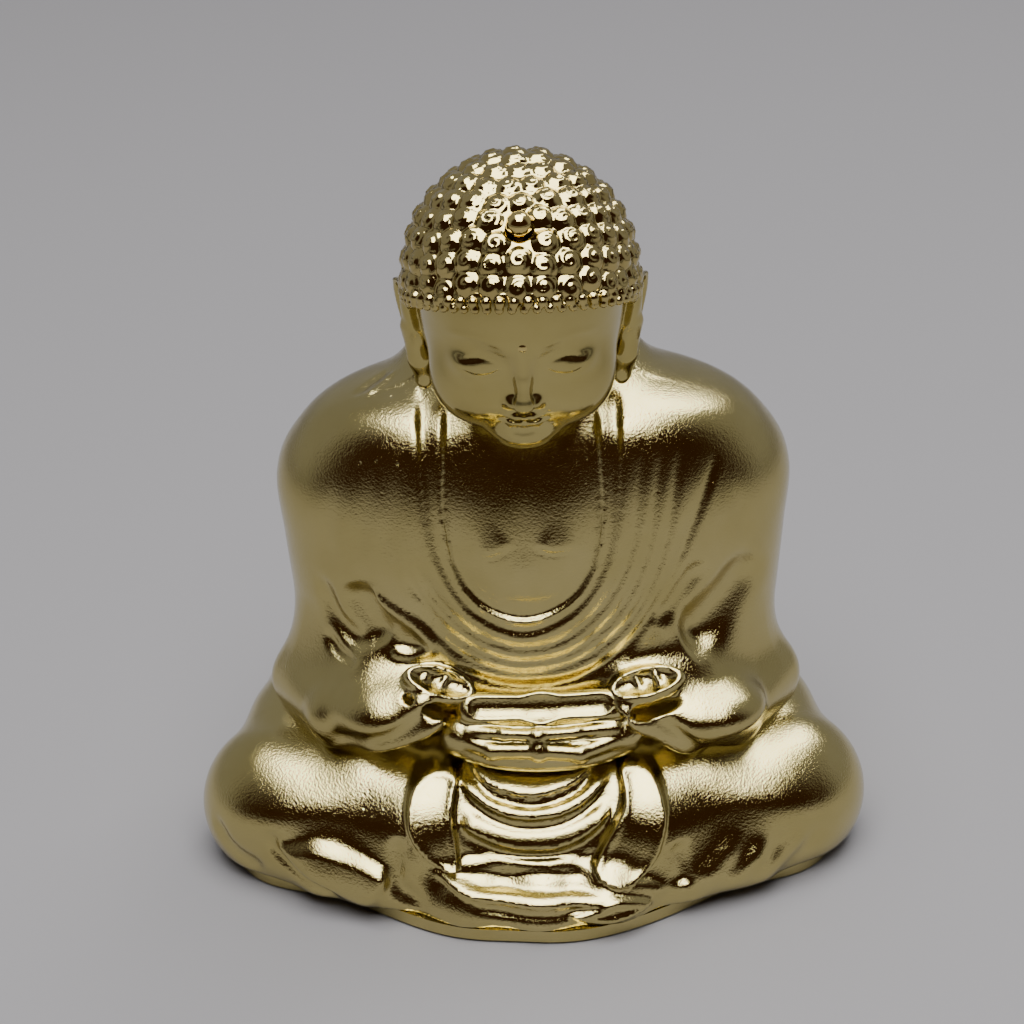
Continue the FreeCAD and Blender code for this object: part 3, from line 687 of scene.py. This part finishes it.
def over_hairline(q):
    """The height over the plane in which the hair meets the face."""
    return (q - np.array([0, 0, HAIRLINE_MIDDLE], np.float32)) @ HAIR_AXIS


def folded(q):
    """Points with both sides of the head laid on the side where x is positive."""
    m = q.copy()
    m[:, 0] = np.abs(m[:, 0])
    return m


def face_base(q):
    """The skull with full cheeks, a round chin and shallow eye sockets, the same on both sides."""
    f = smooth_max(ovals(q, SKULL), above(q, SKULL[0][0]), 0.6)
    m = folded(q)
    f = smooth_min(f, blob(m, *CHEEK), 1.5)
    f = smooth_min(f, blob(m, *CHIN), 1.4)
    f = smooth_max(f, -blob(m, *EYE_SOCKET), 1.6)
    return smooth_min(f, blob(m, *EYELID), 1.1)


head_curves = {
    "brow": Curve([(1.0, 2.0), (1.9, 2.5), (3.3, 2.75), (4.7, 2.45), (5.9, 1.7)], face_base),
    "lid_line": Curve([(1.5, -0.1), (2.4, -0.5), (3.5, -0.55), (4.9, 0.05)], face_base),
    "lid_fold": Curve([(1.5, 0.35), (3.1, 0.9), (4.9, 0.4)], face_base),
    "mouth": Curve([(0.0, -4.88), (0.9, -4.92), (2.0, -4.62)], face_base),
    "philtrum": Curve([(0.0, -3.75), (0.0, -4.3)], face_base),
    "chin_fold": Curve([(0.0, -6.05), (1.2, -5.9)], face_base),
}


def ear(f, m):
    """A form with a long ear: a rim that runs down into the lobe, round a hollow, and a slit in the lobe."""
    shell = blob(m, (8.1, 0.6, -1.5), (0.8, 1.8, 2.8), (0, 8, 0))
    hollow = blob(m, (9.3, 0.7, -1.6), (0.9, 0.9, 2.4))
    slit = blob(m, (8.6, -0.4, -6.0), (0.8, 0.35, 1.1))
    rim = spline(EAR_RIM, 28)
    f = smooth_min(f, shell, 0.5)
    f = smooth_min(f, limb(m, EAR_LOBE, [1.0, 0.85, 0.75], 1.0), 0.6)
    f = smooth_max(f, -hollow, 0.4)
    f = smooth_min(f, limb(m, rim, [0.4] * len(rim), 0.3), 0.3)
    return smooth_max(f, -slit, 0.3)


def head(p):
    """Face, ears and neck; the face is calm and general."""
    q = head_axes(p)
    m = folded(q)
    c = head_curves
    f = face_base(q)
    nose = limb(m, [(0, -8.5, 1.5), (0, -9.2, -0.8), (0, -9.65, -2.4)], [0.42, 0.42, 0.6], 0.5)
    nose = smooth_min(nose, blob(m, (0, -9.65, -2.75), (0.8, 0.72, 0.6)), 0.3)
    nose = smooth_min(nose, blob(m, (0.8, -9.15, -2.85), (0.5, 0.6, 0.45)), 0.25)
    f = smooth_min(f, nose, 0.7)
    f = smooth_max(f, -blob(m, (0.38, -9.4, -3.4), (0.2, 0.35, 0.18)), 0.12)
    upper_lip = limb(m, [(0, -8.85, -4.6), (0.6, -8.9, -4.5), (1.8, -8.45, -4.68)], [0.3, 0.3, 0.1], 0.15)
    lower_lip = limb(m, [(0, -8.72, -5.28), (0.8, -8.65, -5.2), (1.5, -8.4, -5.0)], [0.38, 0.34, 0.12], 0.2)
    f = smooth_min(smooth_min(f, upper_lip, 0.3), lower_lip, 0.3)
    ridge(f, m, c["brow"], 0.09, 0.34, 0.3, 0.3)
    ridge(f, m, c["lid_line"], -0.16, 0.15, 0.2, 0.2)
    ridge(f, m, c["lid_fold"], -0.08, 0.2, 0.25, 0.25)
    ridge(f, m, c["mouth"], -0.3, 0.14, 0.0, 0.2)
    ridge(f, m, c["philtrum"], -0.14, 0.25, 0.2, 0.0)
    ridge(f, m, c["chin_fold"], -0.16, 0.45, 0.0, 0.4)
    f = ear(f, m - EAR_SHIFT)
    f = smooth_max(f, over_hairline(q) - np.float32(0.4), 0.2)
    neck = limb(p, [(0, 0.6, NECK_BASE - 2.5), (0, 0.2, NECK_BASE + 3.4)], [5.9, 5.0])
    for rise in (0.7, 2.4):
        neck += 0.25 * np.exp(-((p[:, 2] - NECK_BASE - rise) / 0.35) ** 2)
    neck = smooth_max(neck, above(p, NECK_BASE - 1.2), 0.3)
    return smooth_min(f, neck, 0.8)


# ---- Hair ----

HAIR = [(-7.0, 7.0, -8.4, 7.6, 2.1), (-3.0, 8.2, -9.2, 8.8, 2.1), (0.0, 8.7, -9.4, 9.3, 2.1),
        (3.0, 8.6, -9.2, 9.5, 2.1), (6.0, 7.6, -8.0, 8.5, 2.0), (8.0, 5.9, -6.1, 6.8, 2.0),
        (9.2, 4.3, -4.2, 5.2, 2.0), (9.9, 2.7, -2.4, 3.6, 2.0), (10.2, 0.6, 0.0, 1.4, 2.0)]
CURL_SPACING = 1.9
CURL_RADIUS = 1.36
CURL_SINK = 0.98
CURL_ROWS = 10
ROW_SPACING = CURL_SPACING * 0.9
FIRST_ROW = 0.7
CURL_JITTER = 0.3
HAIR_RADIUS = 9.3

# Rows of beads along the hairline, as height over it, radius and spacing.
BEAD_ROWS = [(-0.35, 0.45, 1.0), (-0.85, 0.36, 0.9)]
JEWEL_PLACE = (0.0, -4.2, 9.5)
JEWEL_SOCKET = 1.08


def hair_base(q):
    """The smooth cap under the curls, with a low crown bump."""
    return smooth_max(ovals(q, HAIR), below(q, HAIR[-1][0]), 1.0)


def ring_places(height, spacing, shift):
    """Evenly spaced points of the hair's surface, at a height over the hairline."""
    middle = np.array([0, 0, HAIRLINE_MIDDLE])
    sideways = np.array([1.0, 0, 0])
    forwards = np.cross(HAIR_AXIS, sideways)
    polar = math.pi / 2 - height / HAIR_RADIUS
    count = max(1, round(2 * math.pi * HAIR_RADIUS * math.sin(polar) / spacing))
    turns = 2 * math.pi * (np.arange(count) + shift) / count
    ways = (math.sin(polar) * (np.cos(turns)[:, None] * sideways + np.sin(turns)[:, None] * forwards)
            + math.cos(polar) * HAIR_AXIS).astype(np.float32)
    reach = np.full(count, 6.0, np.float32)
    for _ in range(30):
        places = (middle + reach[:, None] * ways).astype(np.float32)
        reach -= 0.8 * hair_base(places)
    return places


def curl_places():
    """The middles of the curls, in slightly uneven rows that run round the head from the hairline up.

    They push each other apart and keep clear of the jewel, and the lowest row stays where it is.
    """
    rows = [ring_places(FIRST_ROW + ROW_SPACING * row, CURL_SPACING, 0.5 * (row % 2))
            for row in range(CURL_ROWS)]
    places = np.concatenate(rows).astype(float)
    jewel = np.array([JEWEL_PLACE])
    places = places[np.linalg.norm(places - jewel, axis=1) > 1.3]
    places += CURL_JITTER * np.sin(np.outer(np.arange(len(places)), (12.9, 7.8, 3.7)))
    first = len(rows[0])
    reach = 1.35 * CURL_SPACING
    for _ in range(14):
        others = np.concatenate([places, jewel, jewel])
        gap = places[:, None] - others[None]
        distance = np.linalg.norm(gap, axis=2) + 1e-9
        push = np.where(distance < reach, (reach - distance) / distance, 0)
        places[first:] += 0.06 * (push[..., None] * gap).sum(axis=1)[first:]
        out = places / np.linalg.norm(places, axis=1, keepdims=True)
        for _ in range(3):
            places -= 0.8 * out * hair_base(places.astype(np.float32))[:, None]
    return places.astype(np.float32)


CURLS = curl_places()
BEADS = [(ring_places(height, spacing, 0.0), radius) for height, radius, spacing in BEAD_ROWS]


def nearest(q, places):
    """The distance to the nearest place and its index, in portions that fit in memory."""
    distance = np.empty(len(q), np.float32)
    index = np.empty(len(q), int)
    square = np.einsum("ij,ij->i", places, places)
    portion = 60000
    for start in range(0, len(q), portion):
        part = q[start:start + portion]
        gap = square - 2 * part @ places.T
        best = np.argmin(gap, axis=1)
        index[start:start + portion] = best
        squared = gap[np.arange(len(part)), best] + np.einsum("ij,ij->i", part, part)
        distance[start:start + portion] = np.sqrt(np.maximum(squared, 0))
    return distance, index


SNAIL_PITCH = 0.62
SNAIL_HEIGHT = 0.055


def snail(q, index):
    """A shallow spiral on each curl, as a height that fades out at the curl's edge."""
    centre = CURLS[index]
    outward = centre / np.linalg.norm(centre, axis=1, keepdims=True)
    across = np.cross(outward, HAIR_AXIS)
    across /= np.maximum(np.linalg.norm(across, axis=1, keepdims=True), 1e-6)
    up = np.cross(across, outward)
    gap = q - centre
    u = np.einsum("ij,ij->i", gap, across)
    v = np.einsum("ij,ij->i", gap, up)
    radius = np.hypot(u, v)
    wave = np.cos(2 * math.pi * radius / SNAIL_PITCH - np.arctan2(v, u))
    return SNAIL_HEIGHT * wave * np.clip(radius / 0.15, 0, 1) * np.clip((0.85 - radius) / 0.25, 0, 1)


def hair(p):
    """Rows of snail-shell curls over a low crown bump, with a rolled and beaded edge at the hairline."""
    q = head_axes(p)
    f = hair_base(q)
    f = smooth_max(f, -over_hairline(q) - np.float32(1.1), 0.5)
    index = nearest(q, CURLS)[1]
    centre = CURLS[index]
    lifted = q - centre * (1 - CURL_SINK / np.linalg.norm(centre, axis=1, keepdims=True))
    domes = np.sqrt(np.einsum("ij,ij->i", lifted, lifted)) - np.float32(CURL_RADIUS)
    f = smooth_min(f + np.float32(0.12), domes - snail(q, index), 0.12)
    for places, radius in BEADS:
        f = smooth_min(f, nearest(q, places)[0] - np.float32(radius), 0.1)
    jewel_gap = q - np.array(JEWEL_PLACE, np.float32)
    socket = np.sqrt(np.einsum("ij,ij->i", jewel_gap, jewel_gap)) - np.float32(JEWEL_SOCKET)
    return smooth_max(f, -socket, 0.1)


# ---- Materials ----

def node_of(tree, kind, **values):
    """A shader node with some of its inputs and properties set."""
    node = tree.nodes.new(kind)
    for key, value in values.items():
        if key in node.inputs:
            node.inputs[key].default_value = value
        else:
            setattr(node, key, value)
    return node


def bump_on(tree, height, strength, distance, under=None):
    """A bump node fed by a height, laid over another normal."""
    node = node_of(tree, "ShaderNodeBump", Strength=strength, Distance=distance)
    tree.links.new(height, node.inputs["Height"])
    if under is not None:
        tree.links.new(under, node.inputs["Normal"])
    return node.outputs["Normal"]


def metal(name, light, dark, roughness, grain_scale, grain_height, pit_height):
    """Plated metal with a fine cast grain and scattered pits, and slightly uneven in polish and colour."""
    material = bpy.data.materials.new(name)
    material.use_nodes = True
    tree = material.node_tree
    link = tree.links.new
    shader = tree.nodes["Principled BSDF"]
    shader.inputs["Metallic"].default_value = 1.0
    place = tree.nodes.new("ShaderNodeTexCoord").outputs["Object"]

    grain = node_of(tree, "ShaderNodeTexNoise", Scale=grain_scale, Detail=3.0, Roughness=0.6)
    cloud = node_of(tree, "ShaderNodeTexNoise", Scale=160.0, Detail=4.0, Roughness=0.55)
    pits = node_of(tree, "ShaderNodeTexVoronoi", Scale=1300.0, Randomness=1.0)
    for texture in (grain, cloud, pits):
        link(place, texture.inputs["Vector"])

    pit_edge = node_of(tree, "ShaderNodeMapRange", **{"From Min": 0.05, "From Max": 0.22})
    link(pits.outputs["Distance"], pit_edge.inputs["Value"])
    rare = node_of(tree, "ShaderNodeMapRange", **{"From Min": 0.56, "From Max": 0.66})
    link(cloud.outputs["Fac"], rare.inputs["Value"])
    pit_mask = node_of(tree, "ShaderNodeMath", operation="MULTIPLY")
    inverse = node_of(tree, "ShaderNodeMath", operation="SUBTRACT")
    inverse.inputs[0].default_value = 1.0
    link(pit_edge.outputs["Result"], inverse.inputs[1])
    link(inverse.outputs["Value"], pit_mask.inputs[0])
    link(rare.outputs["Result"], pit_mask.inputs[1])

    normal = bump_on(tree, grain.outputs["Fac"], 1.0, grain_height)
    pit_depth = node_of(tree, "ShaderNodeMath", operation="MULTIPLY")
    pit_depth.inputs[1].default_value = -1.0
    link(pit_mask.outputs["Value"], pit_depth.inputs[0])
    link(bump_on(tree, pit_depth.outputs["Value"], 1.0, pit_height, normal), shader.inputs["Normal"])

    polish = node_of(tree, "ShaderNodeMapRange", **{"From Min": 0.3, "From Max": 0.7,
                                                    "To Min": 0.75 * roughness, "To Max": 1.25 * roughness})
    link(cloud.outputs["Fac"], polish.inputs["Value"])
    link(polish.outputs["Result"], shader.inputs["Roughness"])
    tone = tree.nodes.new("ShaderNodeValToRGB")
    tone.color_ramp.elements[0].position = 0.35
    tone.color_ramp.elements[0].color = (*dark, 1)
    tone.color_ramp.elements[1].position = 0.65
    tone.color_ramp.elements[1].color = (*light, 1)
    link(cloud.outputs["Fac"], tone.inputs["Fac"])
    link(tone.outputs["Color"], shader.inputs["Base Color"])
    return material


# Lighter and darker colour, roughness, then the grain's scale, its height and the pits' depth in metres.
CAST_GOLD = metal("cast_gold", (0.525, 0.445, 0.195), (0.475, 0.40, 0.16), 0.09, 5200.0, 0.000034, 0.000030)
# The face's gold is the body's plated gold made about a tenth darker and a little more saturated: painted
# shade for the dimmer look of the face. Its grain, polish and pits are the head casting's own.
SHADED_FACE_GOLD = metal("face_gold_painted_shade", (0.475, 0.40, 0.16), (0.435, 0.36, 0.13), 0.13, 4200.0, 0.000005, 0.000040)
HAIR_GOLD = metal("hair_gold", (0.50, 0.41, 0.165), (0.44, 0.35, 0.13), 0.06, 3800.0, 0.000003, 0.000010)
BEAD_GOLD = metal("bead_gold", (0.66, 0.53, 0.21), (0.60, 0.47, 0.17), 0.06, 3800.0, 0.000002, 0.000008)
ZINC = metal("zinc_plating", (0.62, 0.63, 0.65), (0.50, 0.51, 0.53), 0.28, 2600.0, 0.000006, 0.000010)


def felt_material():
    """Dark green felt: matted fibres from two stretched noises."""
    material = bpy.data.materials.new("felt")
    material.use_nodes = True
    tree = material.node_tree
    link = tree.links.new
    shader = tree.nodes["Principled BSDF"]
    shader.inputs["Roughness"].default_value = 0.95
    shader.inputs["Sheen Weight"].default_value = 0.4
    place = tree.nodes.new("ShaderNodeTexCoord").outputs["Object"]
    heights = []
    for stretch in ((1.0, 0.22, 1.0), (0.22, 1.0, 1.0)):
        mapping = node_of(tree, "ShaderNodeMapping", Scale=stretch)
        fibres = node_of(tree, "ShaderNodeTexNoise", Scale=2600.0, Detail=4.0, Roughness=0.7)
        link(place, mapping.inputs["Vector"])
        link(mapping.outputs["Vector"], fibres.inputs["Vector"])
        heights.append(fibres.outputs["Fac"])
    both = node_of(tree, "ShaderNodeMath", operation="MAXIMUM")
    link(heights[0], both.inputs[0])
    link(heights[1], both.inputs[1])
    link(bump_on(tree, both.outputs["Value"], 1.0, 0.00008), shader.inputs["Normal"])
    tone = tree.nodes.new("ShaderNodeValToRGB")
    tone.color_ramp.elements[0].position = 0.4
    tone.color_ramp.elements[0].color = (0.012, 0.045, 0.026, 1)
    tone.color_ramp.elements[1].position = 0.7
    tone.color_ramp.elements[1].color = (0.035, 0.10, 0.06, 1)
    link(both.outputs["Value"], tone.inputs["Fac"])
    link(tone.outputs["Color"], shader.inputs["Base Color"])
    return material


FELT = felt_material()
NODE_MATERIALS = {"felt_pad": FELT, "urna_bead": BEAD_GOLD, "crown_jewel": BEAD_GOLD, "base_screws": ZINC,
                  "torso_screws": ZINC, "torso_washers": ZINC, "neck_screw": ZINC, "neck_washer": ZINC}
for name, node in frame["nodes"].items():
    node.data.materials.clear()
    node.data.materials.append(NODE_MATERIALS.get(name, CAST_GOLD))


def add_piece(name, form, box, voxel, material, node):
    """Sculpts one casting and puts it in the place of its CAD node."""
    piece = mesh_of(name, form, box[0], box[1], voxel, material)
    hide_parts(node)
    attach(piece, "root")


# How finely each piece is sculpted, and how far the sculpted lap may reach past the CAD box.
CLOTH_VOXEL = 0.26
HANDS_VOXEL = 0.13
HEAD_VOXEL = 0.15
REACH = 1.2
TORSO_BOX = ((-25, -17, DECK - 2), (25, 19, NECK_BASE + 5))
LAP_BOX = ((LOW[0] - REACH, FRONT - REACH, PLATE_TOP - 1), (HIGH[0] + REACH, BACK + REACH, DECK + 4))
HANDS_BOX = ((-10, -17, 10), (11, -7, 19))
HEAD_BOX = ((-11, -17, NECK_BASE - 3), (11, 10, TOP))
HAIR_BOX = ((-12, -18, 40), (12, 10, TOP + 2))

add_piece("torso", torso, TORSO_BOX, CLOTH_VOXEL, CAST_GOLD, "torso_casting")
add_piece("lap", lap, LAP_BOX, CLOTH_VOXEL, CAST_GOLD, "lap_casting")
add_piece("hands", hands, HANDS_BOX, HANDS_VOXEL, CAST_GOLD, "hands_casting")
add_piece("head", head, HEAD_BOX, HEAD_VOXEL, SHADED_FACE_GOLD, "head_casting")
add_piece("hair", hair, HAIR_BOX, HEAD_VOXEL, HAIR_GOLD, "hair_cap")


# ---- Stage, in metres ----

FLOOR_REACH = 3.0
FLOOR_COLOUR = (0.172, 0.167, 0.172, 1)
ROOM_COLOUR = (0.335, 0.335, 0.35, 1)
DARK_COLOUR = (0.045, 0.020, 0.008, 1)


def floor():
    """A plain floor that runs far past the view."""
    mesh = bpy.data.meshes.new("floor")
    corners = [(FLOOR_REACH * x, FLOOR_REACH * y, 0) for x, y in ((-1, -1), (1, -1), (1, 1), (-1, 1))]
    mesh.from_pydata(corners, [], [(0, 1, 2, 3)])
    piece = bpy.data.objects.new("floor", mesh)
    bpy.context.scene.collection.objects.link(piece)
    material = bpy.data.materials.new("floor")
    material.use_nodes = True
    shader = material.node_tree.nodes["Principled BSDF"]
    shader.inputs["Base Color"].default_value = FLOOR_COLOUR
    shader.inputs["Roughness"].default_value = 0.7
    mesh.materials.append(material)


floor()


def area_light(name, place, target, size, power):
    """A rectangular white light that faces its target."""
    light = bpy.data.lights.new(name, "AREA")
    light.shape = "RECTANGLE"
    light.size, light.size_y = size
    light.energy = power
    lamp = bpy.data.objects.new(name, light)
    lamp.location = place
    lamp.rotation_euler = (Vector(target) - Vector(place)).to_track_quat("-Z", "Y").to_euler()
    bpy.context.scene.collection.objects.link(lamp)


area_light("softbox", (0.0, -0.16, 0.55), (0, -0.16, 0.03), (0.50, 0.62), 9.4)
area_light("side_window", (0.24, 0.26, 0.50), (0, 0, 0.03), (0.22, 0.22), 1.2)


def world():
    """A pale room with a dark side in front of the statue, from just over the floor to near the ceiling."""
    studio = bpy.data.worlds.new("studio")
    bpy.context.scene.world = studio
    studio.use_nodes = True
    tree = studio.node_tree
    link = tree.links.new
    way = tree.nodes.new("ShaderNodeSeparateXYZ")
    link(tree.nodes.new("ShaderNodeTexCoord").outputs["Generated"], way.inputs["Vector"])

    def smooth_step(value, start, end):
        step = node_of(tree, "ShaderNodeMapRange", interpolation_type="SMOOTHSTEP",
                       **{"From Min": start, "From Max": end})
        link(value, step.inputs["Value"])
        return step.outputs["Result"]

    def product(a, b):
        node = node_of(tree, "ShaderNodeMath", operation="MULTIPLY")
        link(a, node.inputs[0])
        link(b, node.inputs[1])
        return node.outputs["Value"]

    front = smooth_step(way.outputs["Y"], 0.05, -0.35)
    low = smooth_step(way.outputs["Z"], 0.0, 0.10)
    high = smooth_step(way.outputs["Z"], 0.90, 0.76)
    mix = node_of(tree, "ShaderNodeMix", data_type="RGBA")
    link(product(product(front, low), high), mix.inputs["Factor"])
    mix.inputs["A"].default_value = ROOM_COLOUR
    mix.inputs["B"].default_value = DARK_COLOUR
    link(mix.outputs["Result"], tree.nodes["Background"].inputs["Color"])


world()

VIEW_ELEVATION = math.radians(28)
VIEW_DISTANCE = 0.230
VIEW_MIDDLE = Vector((0, 0, 0.028))
VIEW_AIM = Vector((-0.00116, 0, 0.02775))
VIEW_ANGLE = math.radians(20.17)
VIEW_ROLL = -math.radians(1.6)


def camera():
    """A close camera that looks down on the statue from the front."""
    data = bpy.data.cameras.new("camera")
    data.angle = VIEW_ANGLE
    data.clip_start = 0.01
    view = bpy.data.objects.new("camera", data)
    way = Vector((0, -math.cos(VIEW_ELEVATION), math.sin(VIEW_ELEVATION)))
    view.location = VIEW_MIDDLE + way * VIEW_DISTANCE
    look = (VIEW_AIM - view.location).to_track_quat("-Z", "Y").to_matrix()
    roll = Matrix.Rotation(VIEW_ROLL, 3, "Z")
    view.rotation_euler = (look @ roll).to_euler()
    bpy.context.scene.collection.objects.link(view)
    bpy.context.scene.camera = view


camera()
